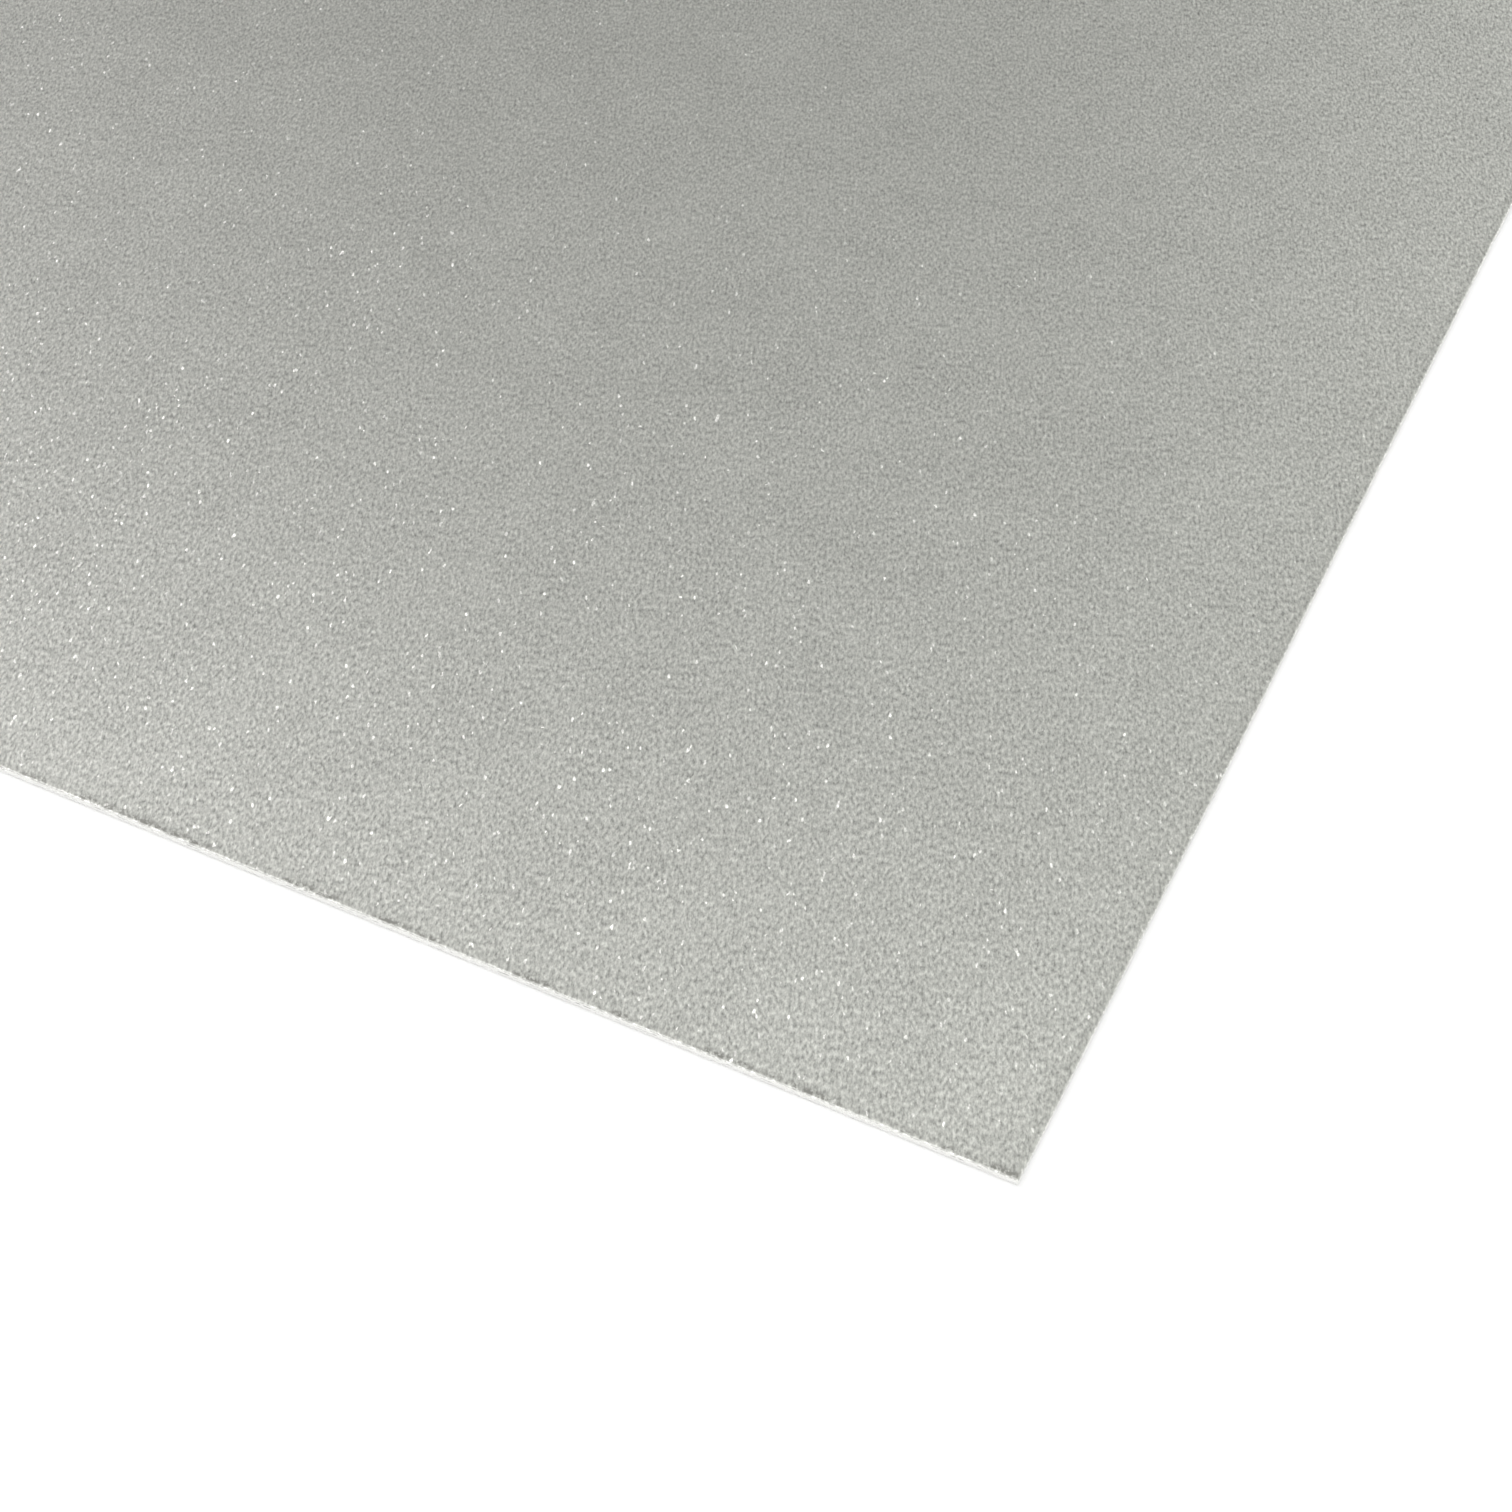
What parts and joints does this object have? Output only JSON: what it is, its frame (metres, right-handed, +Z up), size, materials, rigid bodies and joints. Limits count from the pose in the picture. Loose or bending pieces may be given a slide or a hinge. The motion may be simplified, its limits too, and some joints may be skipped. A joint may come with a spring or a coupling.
{
  "type": "galvannealed steel sheet",
  "caption": "Flat square blank of thin galvannealed steel sheet with matt grey faces and sheared edges, for cutting, bending, welding or painting.",
  "frame": {"origin": "middle of the sheet's outline, at the level it rests on", "axes": "+Z up through the thickness, out of the top face; X along the length; Y across the width"},
  "size_m": [0.3048, 0.3048, 0.0007],
  "materials": {
    "galvannealed_steel": "matte"
  },
  "bodies": {
    "root": {"galvannealed_sheet": "galvannealed_steel"}
  },
  "joints": []
}
